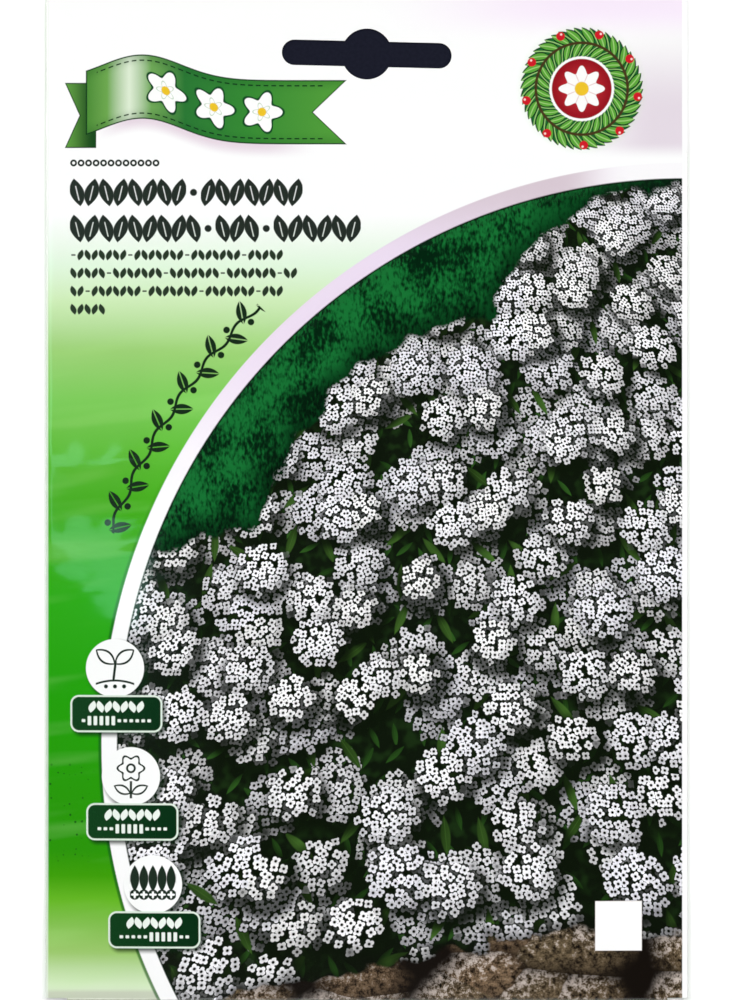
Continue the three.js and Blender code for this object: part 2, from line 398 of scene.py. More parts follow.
# %% Sort the faces
ARC_CENTRE = Vector((59.3, -45.8)) * mm
PICTURE_RADIUS = 105.9 * mm
MOUNDS = (
    (-18.0, -52.0, 47.0),
    (30.0, -16.0, 51.0),
    (58.0, 22.0, 36.5),
    (-44.0, -75.0, 34.0),
    (44.0, -62.0, 33.0),
)
HEADER_PRINT, MARGIN_PRINT, PICTURE_PRINT, LAWN_PRINT, FOOT_PRINT, BACK_PRINT = range(3, 9)
for name in ("header print", "margin print", "picture print", "lawn print", "foot print", "back print"):
    sheet.data.materials.append(bpy.data.materials.new(name))
middle_level = step + body_thickness / 2


def zone_of(centre):
    if centre.z < middle_level:
        return BACK_PRINT
    if centre.y > 64 * mm:
        return HEADER_PRINT
    from_arc = (Vector((centre.x, centre.y)) - ARC_CENTRE).length
    beside_badges = centre.x > -28 * mm or centre.y > -26 * mm
    if from_arc > PICTURE_RADIUS - 1.5 * mm or not beside_badges:
        return MARGIN_PRINT
    if centre.y < -71 * mm:
        return FOOT_PRINT
    mound_depth = max(radius - math.hypot(centre.x / mm - x, centre.y / mm - y) for x, y, radius in MOUNDS)
    on_mounds = mound_depth > 3.5 and from_arc < PICTURE_RADIUS - 2 * mm and abs(centre.x) < right - 1.2 * mm
    return PICTURE_PRINT if on_mounds else LAWN_PRINT


def flat_centre(polygon):
    return sum((flat_places[index] for index in polygon.vertices), Vector()) / len(polygon.vertices)


zone_counts = {}
for polygon in sheet.data.polygons:
    if polygon.material_index == OUTSIDE:
        polygon.material_index = zone_of(flat_centre(polygon))
    zone_counts[polygon.material_index] = zone_counts.get(polygon.material_index, 0) + 1
print("faces in each zone:", zone_counts)

# %% [markdown]
# ## A flat map of the sheet
# The print reads object coordinates, but a bake needs a flat map. The front gets most of it, at one even
# scale. Folds are opened out by their arc length, so none of their faces is squeezed to a line.

# %% Lay out the bake map
front_scale = 1 / (187.8 * mm)


def opened(co):
    """The place of a point once its fold is turned flat, level with the panel above or below it."""
    x, y, z = co
    for edge_at, side, radius, centre_z, along_x in (
        (front_left, -1, left_radius, step + left_radius, True),
        (front_right, 1, right_radius, step + body_thickness - right_radius, True),
        (fold_y, -1, bottom_radius, bottom_radius, False),
    ):
        beyond = ((x if along_x else y) - edge_at) * side
        if beyond > 0:
            turn = math.atan2(beyond, abs(z - centre_z))
            if along_x:
                x = edge_at + side * radius * turn
            else:
                y = edge_at + side * radius * turn
    return x + 60.3 * mm, y + 93.8 * mm


def map_spot(zone, centre, co, upward):
    """The corner and scale of the patch of the bake map that a face is laid in."""
    x, y = opened(co)
    if HEADER_PRINT <= zone <= FOOT_PRINT:
        return x * front_scale, y * front_scale
    if zone == EDGE:
        in_slot = abs(centre.y - slot_y) < 5.5 * mm and abs(centre.x) < 17 * mm
        about = Vector((centre.x, centre.y - (slot_y if in_slot else 0)))
        column = 0.992 if in_slot else 0.98
        here = Vector((co.x, co.y - (centre.y - about.y)))
        turn = about.angle_signed(here, 0) if here.length > 0 else 0
        around = math.atan2(about.x, about.y) / math.tau + 0.5 + turn / math.tau
        return column + 0.006 * co.z / FLAT_TOP, min(max(around, 0), 1)
    if zone == BACK_PRINT and centre.z > flat_back - paper:
        if upward < 0:
            return 0.655 + 0.5 * x * front_scale, 0.5 * y * front_scale
        return 0.66 + 0.25 * (x - 108 * mm) * front_scale, 0.87 + 0.12 * y * front_scale
    if zone == BACK_PRINT:
        return 0.655 + 0.5 * x * front_scale, 0.51 + 0.5 * y * front_scale
    if centre.z > flat_seam + paper:
        return 0.655 + 0.25 * x * front_scale, 0.6 + 0.25 * y * front_scale
    if centre.z > flat_seam - paper / 2:
        return 0.7 + 0.25 * (x - 108 * mm) * front_scale, 0.87 + 0.12 * y * front_scale
    if centre.z > flat_back - paper / 2:
        return 0.818 + 0.25 * x * front_scale, 0.6 + 0.25 * y * front_scale
    return 0.76 + 0.25 * x * front_scale, 0.87 + 0.25 * y * front_scale


bake_map = sheet.data.uv_layers.new(name="OFBake")
for polygon in sheet.data.polygons:
    centre = flat_centre(polygon)
    for loop in polygon.loop_indices:
        co = flat_places[sheet.data.loops[loop].vertex_index]
        bake_map.data[loop].uv = map_spot(polygon.material_index, centre, co, polygon.normal.z)
spots = [corner.uv for corner in bake_map.data]
print("bake map from", [round(min(spot[axis] for spot in spots), 3) for axis in (0, 1)], "to",
      [round(max(spot[axis] for spot in spots), 3) for axis in (0, 1)])

# %% [markdown]
# ## A small kit for writing materials
# A node graph of hundreds of nodes is hard to lay by hand. Here a value wraps a socket, and adding or
# multiplying values adds the Math nodes, so a print reads like the formula that it is.

# %% Values and finishes
class Value:
    """A socket whose arithmetic adds Math nodes."""

    def __init__(self, finish, socket):
        self.finish = finish
        self.socket = socket

    def math(self, operation, *others):
        return self.finish.node("ShaderNodeMath", {"operation": operation}, [self, *others])

    def __add__(self, other):
        return self.math("ADD", other)

    def __sub__(self, other):
        return self.math("SUBTRACT", other)

    def __rsub__(self, other):
        return self.finish.node("ShaderNodeMath", {"operation": "SUBTRACT"}, [other, self])

    def __mul__(self, other):
        return self.math("MULTIPLY", other)

    def __truediv__(self, other):
        return self.math("DIVIDE", other)

    def __rtruediv__(self, other):
        return self.finish.node("ShaderNodeMath", {"operation": "DIVIDE"}, [other, self])

    def __pow__(self, other):
        return self.math("POWER", other)

    def __or__(self, other):
        return self.math("MAXIMUM", other)

    def __and__(self, other):
        return self.math("MINIMUM", other)

    def __abs__(self):
        return self.math("ABSOLUTE")

    __radd__ = __add__
    __rmul__ = __mul__


class Finish:
    """One material and its nodes."""

    def __init__(self, name):
        self.material = bpy.data.materials.get(name) or bpy.data.materials.new(name)
        self.material.use_nodes = True
        self.tree = self.material.node_tree
        self.tree.nodes.clear()

    def node(self, kind, settings=None, inputs=(), output=0):
        """Adds a node, sets it up, fills its inputs and returns one of its outputs."""
        made = self.tree.nodes.new(kind)
        for key, setting in (settings or {}).items():
            if key == "stops":
                self.set_stops(made.color_ramp, setting)
            else:
                setattr(made, key, setting)
        for key, given in inputs.items() if isinstance(inputs, dict) else enumerate(inputs):
            if isinstance(given, Value):
                self.tree.links.new(given.socket, made.inputs[key])
            elif given is not None:
                made.inputs[key].default_value = given
        return Value(self, made.outputs[output])

    @staticmethod
    def set_stops(ramp, stops):
        while len(ramp.elements) < len(stops):
            ramp.elements.new(0.5)
        for element, (position, colour) in zip(ramp.elements, stops):
            element.position = position
            element.color = colour

    def vector(self, operation, *inputs, output=0):
        return self.node("ShaderNodeVectorMath", {"operation": operation}, inputs, output)

    def split(self, vector):
        made = self.tree.nodes.new("ShaderNodeSeparateXYZ")
        self.tree.links.new(vector.socket, made.inputs[0])
        return [Value(self, socket) for socket in made.outputs]

    def join(self, x, y, z=0.0):
        return self.node("ShaderNodeCombineXYZ", {}, [x, y, z])

    def mix(self, mask, under, over, blend="MIX"):
        """Lays the colour over where the mask is 1."""
        return self.node(
            "ShaderNodeMix",
            {"data_type": "RGBA", "blend_type": blend},
            {0: mask, 6: under, 7: over},
            output=2,
        )

    def soft(self, value, gone, full):
        """0 where the value is at gone, 1 where it is at full, and a soft step between."""
        settings = {"interpolation_type": "SMOOTHSTEP"}
        return self.node("ShaderNodeMapRange", settings, [value, gone, full, 0.0, 1.0])

    def noise(self, place, size, detail=2.0, roughness=0.5, dimensions="2D"):
        settings = {"noise_dimensions": dimensions}
        inputs = {"Vector": place, "Scale": 1 / size, "Detail": detail, "Roughness": roughness}
        return self.node("ShaderNodeTexNoise", settings, inputs)

    def cells(self, place, randomness=1.0):
        """The distance, colour and centre of the nearest of scattered points, one to each unit square."""
        inputs = {"Vector": place, "Scale": 1.0, "Randomness": randomness}
        made = self.node("ShaderNodeTexVoronoi", {"voronoi_dimensions": "2D"}, inputs)
        return [Value(self, made.socket.node.outputs[key]) for key in ("Distance", "Color", "Position")]

    def surface(self, colour, roughness, height=None, bump=0.0, bump_distance=0.0001, coat=None, **sockets):
        """Ends the material in one principled surface."""
        shader = self.tree.nodes.new("ShaderNodeBsdfPrincipled")
        inputs = {"Base Color": colour, "Roughness": roughness, **sockets}
        if coat is not None:
            inputs["Coat Weight"] = coat
        if height is not None:
            bumps = {"Strength": bump, "Distance": bump_distance, "Height": height}
            inputs["Normal"] = self.node("ShaderNodeBump", {}, bumps)
        for key, given in inputs.items():
            if isinstance(given, Value):
                self.tree.links.new(given.socket, shader.inputs[key])
            else:
                shader.inputs[key].default_value = given
        end = self.tree.nodes.new("ShaderNodeOutputMaterial")
        self.tree.links.new(shader.outputs[0], end.inputs["Surface"])
        print(f"{self.material.name}: {len(self.tree.nodes)} nodes")
        return self.material


WHITE_SHOWS_AT = 0.86


def ink(red, green, blue):
    """A printed colour, from the 0 to 255 numbers that it shows as under the studio light."""
    shares = [number / 255 for number in (red, green, blue)]
    linear = [share / 12.92 if share < 0.04 else ((share + 0.055) / 1.055) ** 2.4 for share in shares]
    return (*(channel * WHITE_SHOWS_AT for channel in linear), 1.0)


print("white ink:", [round(channel, 3) for channel in ink(255, 255, 255)])

# %% [markdown]
# ## The ground of the print
# Behind everything, the front runs from white at the top through fresh green to deep green, and back to
# pale green near the lower edge. The last 2 mm are a grey-beige band of painted shade from the bottom
# fold. A colour ramp over the height does it. The ink stops short of the right fold, so a thin white
# margin shows there.

# %% Ground colours
GROUND_AND_FOLD_SHADE_STOPS = (
    # The first two stops, grey-beige over the lowest 2 mm, are painted shade of the bottom fold.
    (0.000, ink(200, 208, 186)),
    (0.0105, ink(206, 214, 192)),
    (0.012, ink(222, 243, 205)),
    (0.048, ink(158, 203, 110)),
    (0.100, ink(102, 184, 34)),
    (0.125, ink(62, 160, 3)),
    (0.150, ink(42, 150, 3)),
    (0.300, ink(33, 160, 3)),
    (0.400, ink(44, 170, 19)),
    (0.500, ink(70, 172, 25)),
    (0.550, ink(96, 187, 56)),
    (0.600, ink(125, 203, 89)),
    (0.650, ink(156, 208, 117)),
    (0.700, ink(208, 237, 186)),
    (0.735, ink(226, 247, 222)),
    (0.785, ink(255, 255, 255)),
    (1.000, ink(254, 254, 253)),
)


def in_mm(finish, upward=1000):
    """The object coordinates in millimetres."""
    return finish.vector("MULTIPLY", finish.node("ShaderNodeTexCoord", output=3), (1000, 1000, upward))


def place_in_mm(finish):
    """The object coordinates in millimetres, as a flat vector and as its x and y."""
    place = in_mm(finish, 0)
    x, y, _ = finish.split(place)
    return place, x, y


def ground(finish, x, y):
    up = (y + length / 2 / mm) / (length / mm)
    colour = finish.node("ShaderNodeValToRGB", {"stops": GROUND_AND_FOLD_SHADE_STOPS}, [up])
    streaks = finish.noise(finish.join(x * 0.022, y * 0.16 - x * 0.02), 1.0, detail=2.0)
    streaked = finish.soft(streaks, 0.50, 0.75) * finish.soft(y, 50.0, 30.0) * 0.15
    return finish.mix(streaked, colour, ink(180, 236, 140))


def margin(finish, colour, x):
    """The unprinted white margin along the right fold, and a pale line along the left fold: painted highlight
    of the fold, partly wear.
    """
    colour = finish.mix(finish.soft(x, 58.85, 59.05), colour, ink(255, 255, 255))
    # The pale line along the left fold is painted highlight of the fold, with some wear as well.
    return finish.mix(finish.soft(x, -59.35, -59.75) * 0.75, colour, ink(238, 244, 236))


print(len(GROUND_AND_FOLD_SHADE_STOPS), "ground stops")

# %% [markdown]
# ## Flowers for the picture
# The picture is a bank of small white flowers. Each flower head is a dome of florets, each floret has
# four round petals, and heads overlap at several depths. Scattered points make it: one set of points
# holds the heads, a finer set holds the florets, and a floret shows only if its own centre lies inside a
# head. So every floret is whole, and heads get a ragged outline as real ones have.

# %% One depth of flower heads
FLORET = 1.36
HEAD = 11.5


def turned(finish, vector, angle):
    inputs = {"Vector": vector, "Angle": angle}
    return finish.node("ShaderNodeVectorRotate", {"rotation_type": "Z_AXIS"}, inputs)


def flower_depth(finish, picture, place, shift, light, fullness, shade_below):
    """Lays one depth of flower heads over the picture and darkens what lies behind them."""
    shifted = finish.vector("ADD", place, shift)
    floret_place = finish.vector("MULTIPLY", shifted, (1 / FLORET, 1 / FLORET, 0))
    _, tint, centre = finish.cells(floret_place, 0.7)
    chance, turn, _ = finish.split(tint)

    to_head = finish.vector("MULTIPLY", centre, (FLORET / HEAD, FLORET / HEAD, 0))
    _, head_tint, head_centre = finish.cells(to_head, 0.9)
    head_size, head_light, _ = finish.split(head_tint)
    in_head = finish.vector("SUBTRACT", to_head, head_centre)
    from_head = finish.vector("LENGTH", in_head, output=1)
    reach = fullness + 0.15 * head_size
    shows = finish.soft(from_head + 0.06 * chance, reach + 0.01, reach)
    toward_light = finish.vector("DOT_PRODUCT", in_head, (-0.45, 0.8, 0), output=1)

    local = finish.vector("SUBTRACT", floret_place, centre)
    across, up, _ = finish.split(turned(finish, local, turn * 6.28))
    from_centre = finish.vector("LENGTH", local, output=1)
    four = abs(across * up) / (from_centre * from_centre + 0.001)
    edge = 0.30 + 0.43 * four + 0.07 * chance
    petals = finish.soft(from_centre, edge + 0.03, edge - 0.05)
    eye = finish.soft(from_centre, 0.21, 0.11)

    bright = light * (0.84 + 0.16 * head_light) * (0.86 + 0.14 * chance)
    rim = from_head / reach
    bright = bright * (1 - 0.42 * rim * rim) + 0.42 * light * toward_light
    bright = (bright * (0.90 + 0.18 * finish.soft(from_centre, 0.16, 0.42))) & 0.97
    cool = 0.92 - 0.06 * head_size
    white = finish.node("ShaderNodeCombineColor", {}, [bright * cool, bright * (cool - 0.01), bright * 0.91])

    if shade_below:
        below = finish.vector("ADD", shifted, (-0.7, 1.3, 0))
        below = finish.vector("MULTIPLY", below, (1 / HEAD, 1 / HEAD, 0))
        _, _, near_centre = finish.cells(below, 0.9)
        near_head = finish.vector("DISTANCE", below, near_centre, output=1)
        shade = finish.soft(near_head, fullness + 0.22, fullness + 0.02) * shade_below
        picture = finish.mix(shade, picture, (0.003, 0.006, 0.002, 1))
    under = finish.soft(from_centre, 0.66, 0.56)
    picture = finish.mix(shows * under * 0.85, picture, (0.006, 0.009, 0.005, 1))
    picture = finish.mix(shows * petals, picture, white)
    return finish.mix(shows * petals * eye, picture, (0.006, 0.006, 0.003, 1))


# %% [markdown]
# ## Leaves and lawn
# Between the heads show narrow leaves, lit from above, and deep shade behind them. One leaf sits in each
# cell of a scattered grid, turned by chance. Where two curves of equal size meet they make its outline.

# %% Leaves between the heads
def leaves(finish, picture, place, shift, size, colour, share):
    at = finish.vector("MULTIPLY", finish.vector("ADD", place, shift), (1 / size, 1 / size, 0))
    _, tint, centre = finish.cells(at, 0.6)
    chance, turn, tone = finish.split(tint)
    local = turned(finish, finish.vector("SUBTRACT", at, centre), turn * 2.2 + 0.5)
    along, across, _ = finish.split(local)
    width_here = 0.105 * (1 - (along * along) / 0.2)
    off = abs(across)
    blade = finish.soft(off - width_here, 0.02, -0.02) * (chance.math("LESS_THAN", share))
    lit = (0.45 + 0.75 * tone) * (0.75 + 2.2 * across + 0.5 * along)
    green = finish.mix(lit, (0.003, 0.008, 0.002, 1), colour)
    picture = finish.mix(blade, picture, green)
    return finish.mix(blade * finish.soft(off, 0.016, 0.004) * 0.35, picture, colour)


def lawn(finish, place):
    blades = finish.noise(finish.vector("MULTIPLY", place, (1.0, 0.5, 0)), 0.7, detail=1.5, roughness=0.7)
    patches = finish.noise(place, 7.0, detail=0.0)
    tone = finish.soft(blades + 0.6 * patches, 0.55, 1.05)
    return finish.mix(tone, ink(2, 34, 14), ink(22, 112, 50))


def stones(finish, place):
    bent = finish.vector("ADD", place, finish.join(finish.noise(place, 4.0, detail=1.0) * 3.0, 0.0))
    bent = finish.vector("MULTIPLY", bent, (1 / 13.0, 1 / 9.0, 0))
    far, tint, centre = finish.cells(bent, 0.9)
    tone, warm, _ = finish.split(tint)
    lean = finish.vector("DOT_PRODUCT", finish.vector("SUBTRACT", bent, centre), (-0.5, 0.9, 0), output=1)
    grit = finish.noise(place, 1.5, detail=4.0, roughness=0.8)
    lit = finish.soft(far, 0.75, 0.3) * (0.55 + 0.3 * tone + 0.7 * lean) * finish.soft(grit, 0.3, 0.7)
    rock = finish.mix(warm, ink(168, 138, 108), ink(140, 122, 92))
    rock = finish.mix(finish.soft(grit + 0.35 * lean, 0.56, 0.68), rock, ink(206, 192, 182))
    return finish.mix(lit, ink(20, 15, 11), rock)


# %% [markdown]
# ## The whole picture
# The bank rises in three rounded mounds with a lawn behind, and rough stones at its foot. Flowers higher
# up the bank are further away, so the places of everything are stretched there and the flowers get
# smaller, as in a photograph taken from low down.

# %% Compose the picture
def flower_bank(finish, place, x, y, lawn_shows, stones_show):
    high = y | 0.0
    nearer = 1 + 0.0028 * y + 0.0001 * high * high
    bank_place = finish.join((x - 15) * nearer, y * (1 + 0.0014 * y + 0.000033 * high * high))
    full = 0.09 * finish.soft(y, 8.0, 40.0)
    picture = (0.0035, 0.007, 0.0025, 1)
    deep = finish.noise(bank_place, 2.4, detail=1.0)
    picture = finish.mix(finish.soft(deep, 0.45, 0.75), picture, (0.008, 0.022, 0.005, 1))
    picture = leaves(finish, picture, bank_place, (31, 7, 0), 4.4, ink(44, 84, 30), 1.0)
    picture = flower_depth(finish, picture, bank_place, (11, 43, 0), 0.68, 0.35 + full, 0)
    picture = leaves(finish, picture, bank_place, (3, 17, 0), 7.0, ink(66, 104, 40), 0.66)
    picture = flower_depth(finish, picture, bank_place, (57, 29, 0), 0.92, 0.35 + full, 0.85)
    picture = flower_depth(finish, picture, bank_place, (5, 91, 0), 1.08, 0.335 + full, 0.9)
    wobble = finish.noise(place, 6.0, detail=1.0) - 0.5
    if lawn_shows:
        inside = -100.0
        for mound_x, mound_y, radius in MOUNDS:
            inside = (radius - finish.vector("DISTANCE", place, (mound_x, mound_y, 0), output=1)) | inside
        inside = inside + wobble * 5
        behind = finish.mix(finish.soft(inside, -7.0, 0.0) * 0.8, lawn(finish, place), ink(2, 22, 8))
        picture = finish.mix(finish.soft(inside, -0.6, 0.6), behind, picture)
    if stones_show:
        foot = (y + 93.5) - 7.5 - 5.5 * finish.soft(x, 0.0, 48.0)
        foot = foot + wobble * 7 + 9 * finish.soft(x, 10.0, -40.0)
        picture = finish.mix(finish.soft(foot, 4.0, 0.0) * 0.75, picture, (0.003, 0.004, 0.002, 1))
        picture = finish.mix(finish.soft(foot, 0.5, -0.5), picture, stones(finish, place))
    return picture


def arc_band(finish, colour, picture, place, x, y):
    """The picture inside the arc, a white band round it and thin dark lines along the band's edges."""
    from_arc = finish.vector("DISTANCE", place, (*(ARC_CENTRE / mm), 0), output=1)
    line = finish.soft(from_arc, 109.6, 109.2) * finish.soft(y, 10.0, -30.0)
    colour = finish.mix(line * 0.8, colour, ink(18, 96, 22))
    band = finish.mix(finish.soft(y, -6.0, 32.0), ink(255, 255, 255), ink(238, 222, 242))
    band = finish.mix(finish.soft(y, 44.0, 60.0) * finish.soft(x, 52.0, 38.0), band, ink(216, 200, 210))
    band = finish.mix(finish.soft(x, 36.0, 50.0), band, ink(252, 250, 252))
    colour = finish.mix(finish.soft(from_arc, 108.95, 108.7), colour, band)
    picture = finish.mix(finish.soft(from_arc, 105.5, 105.75) * 0.85, picture, ink(6, 30, 14))
    return finish.mix(finish.soft(from_arc, 106.1, 105.8), colour, picture)


# %% [markdown]
# ## Gloss of the coated paper
# The sheet is coated paper under a thin clear varnish: soft highlights with a sharper clear layer over
# them. The varnish is thin over the dark ink of the picture, which stays nearly matte. Where a zone is
# crinkled, its crinkles add to the paper's grain.

# %% Coated paper
def gloss_paper(finish, colour, place, varnish=1.0, shine=0.25, crinkle=0.0):
    grain = finish.noise(place, 0.35, detail=0.0)
    cockle = finish.noise(place, 3.2, detail=0.0)
    rough = 0.17 + 0.10 * grain
    return finish.surface(
        colour,
        rough,
        height=grain * 0.35 + cockle + crinkle,
        bump=0.25,
        bump_distance=0.00003,
        coat=varnish,
        **{"Coat Roughness": 0.065, "Specular IOR Level": shine},
    )

# %% [markdown]
# ## Printed ornaments
# The rest of the print is flat artwork: a ribbon, a wreath, garlands, a vine and three planting badges.
# Each is drawn from simple outlines. An outline is a distance that is below 0 inside, and a soft step
# over about a tenth of a millimetre turns it into a mask. What repeats is drawn once, in coordinates
# that wrap round.

# %% Outlines
DARK_INK = ink(36, 44, 38)
LEAF_INK = ink(20, 42, 22)


def filled(outline, blur=0.09):
    return outline.finish.soft(outline, blur, -blur)


def distance(dx, dy):
    return (dx * dx + dy * dy) ** 0.5


def disc(x, y, centre, radius):
    return distance(x - centre[0], y - centre[1]) - radius


def rounded_box(x, y, centre, half, corner):
    over_x = (abs(x - centre[0]) - (half[0] - corner)) | 0.0
    over_y = (abs(y - centre[1]) - (half[1] - corner)) | 0.0
    return distance(over_x, over_y) - corner


def leaf(along, across, half_length, half_width):
    """A pointed leaf about the origin."""
    return abs(across) - half_width * (1 - along * along / half_length**2)


def repeat(value, period):
    """The same stretch again and again, from minus half a period to plus half."""
    return value.math("WRAP", period / 2, -period / 2)


def between(value, low, high, blur=0.09):
    return filled(abs(value - (low + high) / 2) - (high - low) / 2, blur)


def cell_number(value, period):
    return (value / period + 0.5).math("FLOOR")


def alternate(value, period):
    """1 and -1 in turn, one for each period."""
    return abs(cell_number(value, period).math("MODULO", 2)) * 2 - 1


def blossom(x, y, petals, radius, depth):
    """A round flower outline with the given number of petals."""
    angle = y.math("ARCTAN2", x)
    return distance(x, y) - radius - depth * (angle * petals).math("COSINE")


# %% [markdown]
# ## Ribbon
# A green satin ribbon with a wave in it, a folded tail on the left and a notched end on the right. Satin
# shows as one bright stripe down the crest of the wave. Rows of dashes are its stitched edges, and three
# white blossoms sit on it.

# %% Draw the ribbon
RIBBON_STOPS = (
    (0.00, ink(74, 138, 52)),
    (0.08, ink(108, 166, 78)),
    (0.165, ink(222, 236, 212)),
    (0.25, ink(110, 166, 86)),
    (0.38, ink(40, 118, 50)),
    (0.62, ink(52, 136, 50)),
    (1.00, ink(84, 158, 58)),
)
RIBBON_LEFT = -52.4
RIBBON_RIGHT = -4.0
RIBBON_HALF = 5.9
RIBBON_Y = 72.5
CREST_X = -42.0
CREST_WIDTH = 10.5
CREST_HEIGHT = 4.8


def ribbon(finish, colour, x, y):
    from_crest = (x - CREST_X) / CREST_WIDTH
    middle = RIBBON_Y + CREST_HEIGHT * (0 - from_crest * from_crest).math("EXPONENT")
    off = y - middle
    shadow = finish.soft(abs(off + 1.5) - RIBBON_HALF, 1.6, -1.2)
    shadow = shadow * finish.soft(x, -52.0, -44.0) * finish.soft(x, -8.0, -20.0)
    colour = finish.mix(shadow * 0.75, colour, ink(222, 200, 216))

    tail_off = abs(y - 71.9)
    tail_end = -53.7 - 0.45 * tail_off
    tail = filled(tail_off - 6.1 | tail_end - x | x + 50.6)
    tail_ink = finish.mix(finish.soft(x, -57.0, -51.0), ink(96, 158, 66), ink(24, 72, 26))
    colour = finish.mix(tail, colour, ink(16, 52, 20))
    colour = finish.mix(filled(tail_off - 5.9 | tail_end + 0.2 - x | x + 50.6), colour, tail_ink)

    end = RIBBON_RIGHT - 6.2 + 6.2 / RIBBON_HALF * abs(off)
    outline = abs(off) - RIBBON_HALF | x - end | RIBBON_LEFT - x
    colour = finish.mix(filled(outline - 0.12), colour, ink(18, 62, 26))
    share = (x - RIBBON_LEFT) / (RIBBON_RIGHT - RIBBON_LEFT)
    satin = finish.node("ShaderNodeValToRGB", {"stops": RIBBON_STOPS}, [share])
    satin = finish.mix(finish.soft(abs(off), 3.4, 6.2) * 0.32, satin, ink(22, 84, 34))
    colour = finish.mix(filled(outline + 0.12), colour, satin)
    stitch = filled(abs(abs(off) - 4.95) - 0.12) * filled(abs(repeat(x, 1.45)) - 0.45)
    colour = finish.mix(stitch * between(x, -50.5, -8.0), colour, ink(10, 52, 24))

    flower_x = repeat(x + 28.6, 9.0)
    on_ribbon = between(x, -42.0, -15.2)
    flower = blossom(flower_x, off, 5, 3.05, 0.8)
    colour = finish.mix(filled(flower - 0.45, 0.14) * on_ribbon, colour, ink(16, 70, 34))
    colour = finish.mix(filled(flower) * on_ribbon, colour, ink(253, 254, 252))
    veins = blossom(flower_x, off, 5, 1.25, -0.45)
    colour = finish.mix(filled(abs(veins) - 0.1) * on_ribbon * 0.55, colour, ink(120, 170, 110))
    return finish.mix(filled(disc(flower_x, off, (0, 0), 0.8)) * on_ribbon, colour, ink(238, 196, 40))


# %% [markdown]
# ## Wreath
# A small round wreath of leaves and red berries, with a flower on a dark ground inside it. Its leaves are
# one leaf drawn in polar coordinates that wrap round 24 times, mirrored across the ring.

# %% Draw the wreath
WREATH_X = 40.2
WREATH_Y = 76.9
WREATH_SCALE = 1.13
RING_RADIUS = 7.6


def wreath(finish, colour, x, y):
    dx, dy = (x - WREATH_X) / WREATH_SCALE, (y - WREATH_Y) / WREATH_SCALE
    away = distance(dx, dy)
    angle = dy.math("ARCTAN2", dx)
    colour = finish.mix(finish.soft(away, 11.2, 9.2) * 0.35, colour, ink(206, 232, 196))
    ring = away - RING_RADIUS
    for count, phase, green in ((24, 0.0, ink(30, 104, 44)), (24, 0.5, ink(92, 164, 58))):
        around = repeat(angle * (count / math.tau) + phase, 1.0) * (math.tau * RING_RADIUS / count)
        outward = abs(ring) - 1.15
        along = around * 0.62 + outward * 0.78
        across = outward * 0.62 - around * 0.78
        blade = leaf(along, across, 1.75, 0.58)
        colour = finish.mix(filled(blade - 0.12), colour, ink(14, 60, 26))
        colour = finish.mix(filled(blade + 0.08), colour, green)
        colour = finish.mix(filled(abs(across) - 0.07) * filled(blade), colour, ink(170, 214, 130))
    colour = finish.mix(filled(abs(ring) - 0.22), colour, ink(70, 52, 26))
    berry_around = repeat(angle * (9 / math.tau) + 0.2, 1.0) * (math.tau * 9.3 / 9)
    berry_out = away - 9.35
    colour = finish.mix(filled(disc(berry_around, berry_out, (0, 0), 0.72)), colour, ink(206, 28, 40))
    colour = finish.mix(filled(disc(berry_around, berry_out, (-0.2, 0.25), 0.18)), colour, ink(255, 220, 215))

    colour = finish.mix(filled(away - 5.35), colour, ink(255, 255, 255))
    dark_red = finish.mix(finish.soft(away, 1.0, 5.0), ink(196, 44, 52), ink(150, 18, 30))
    colour = finish.mix(filled(away - 4.95), colour, dark_red)
    flower = blossom(dx, dy, 8, 3.2, 0.62)
    colour = finish.mix(filled(flower), colour, ink(253, 252, 250))
    folds = filled(abs(repeat(angle * (8 / math.tau) + 0.5, 1.0)) * away - 0.09) * finish.soft(away, 0.9, 1.6)
    colour = finish.mix(folds * filled(flower) * 0.6, colour, ink(214, 150, 150))
    return finish.mix(filled(away - 1.15), colour, ink(240, 196, 44))


# %% [markdown]
# ## Garlands and seed rows
# Two bold rows of leaves head the panel, and four fine rows of seeds follow. Each row is one leaf or one
# seed that repeats along the row, leaning left and right in turn.

# %% Draw the rows
ROW_LEFT = -55.5


def garland(finish, colour, x, y, row_y, leaf_count, gaps):
    """Bold leaves in a row. A gap is the number of a leaf that gives way to a bead."""
    period = 2.72
    up = y - row_y
    along = x - ROW_LEFT - period / 2
    number = cell_number(along, period)
    across = repeat(along, period) - alternate(along, period) * up * 0.24
    blade = leaf(up, across, 2.6, 1.36)
    rib = filled(abs(across) - 0.09) * between(up, -1.5, 1.2)
    leaf_mask = filled(blade, 0.1) * (1 - 0.85 * rib)
    bead = filled(disc(repeat(along, period), up, (0, 0), 0.66))
    is_gap = None
    for gap in gaps:
        here = between(number, gap - 0.5, gap + 0.5, 0.01)
        is_gap = here if is_gap is None else is_gap | here
    mask = leaf_mask * (1 - is_gap) | bead * is_gap
    return finish.mix(mask * between(number, -0.5, leaf_count - 0.5, 0.01), colour, DARK_INK)


